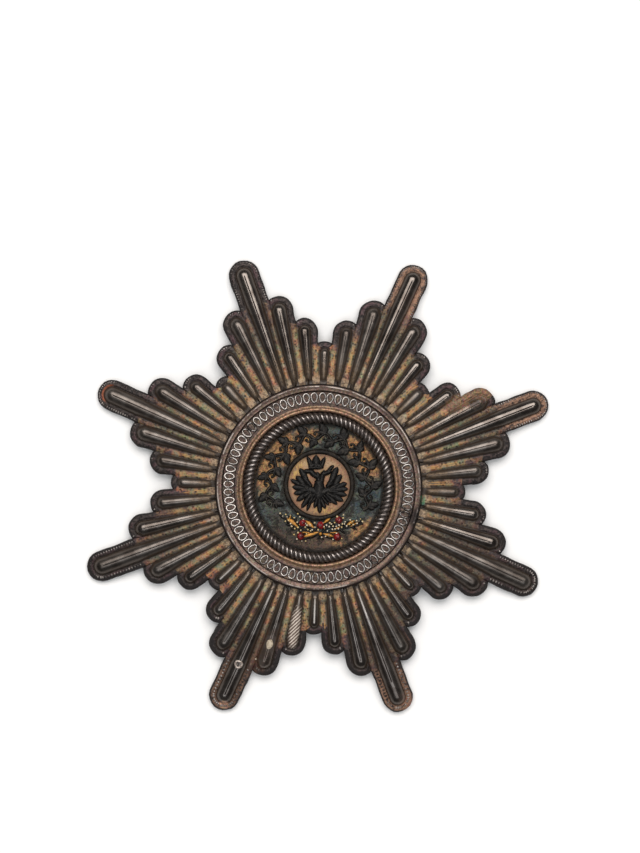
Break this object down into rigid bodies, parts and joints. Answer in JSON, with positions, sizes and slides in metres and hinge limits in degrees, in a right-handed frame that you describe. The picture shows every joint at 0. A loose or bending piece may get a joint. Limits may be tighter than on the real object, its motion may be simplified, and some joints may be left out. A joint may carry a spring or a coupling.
{
  "type": "breast star",
  "caption": "Eight-pointed stamped silver breast star with hollow rays, a looped ring, a rope border, an enamelled middle with an eagle, and a pin behind.",
  "frame": {"origin": "on the plane that the rim's underside rests on, below the middle of the star", "axes": "+Z is the way the star's face looks, +Y is its top, +X is to the right as one looks at the face"},
  "size_m": [0.0842, 0.0837, 0.0059],
  "materials": {
    "star_silver": "dark tarnished silver with warm strips between the rays and bright worn crests",
    "ring_silver": "brown tarnished silver, the loops worn bright",
    "rope_silver": "dark tarnished silver, bright on the strands",
    "band_enamel": "worn enamel in patches of orange tan and grey blue",
    "disc_gilt": "worn orange tan ground, finely grained",
    "black_enamel": "black enamel, satin",
    "scroll_enamel": "dark enamel relief, worn at its edges",
    "laurel_gilt": "gilt with dark outlines",
    "red_enamel": "deep red glossy enamel drops",
    "pin_steel": "dull grey metal"
  },
  "bodies": {
    "root": {"star_plate": "star_silver", "medallion_ring": "ring_silver", "rope_bezel": "rope_silver", "enamel_band": "band_enamel", "disc_rim": "black_enamel", "eagle_disc": "disc_gilt", "eagle": "black_enamel", "crown": "black_enamel", "leaf_scroll": "scroll_enamel", "laurel_branches": "laurel_gilt", "berry_1": "red_enamel", "berry_2": "red_enamel", "berry_3": "red_enamel", "berry_4": "red_enamel", "berry_5": "red_enamel", "back_pin": "pin_steel"}
  },
  "joints": []
}
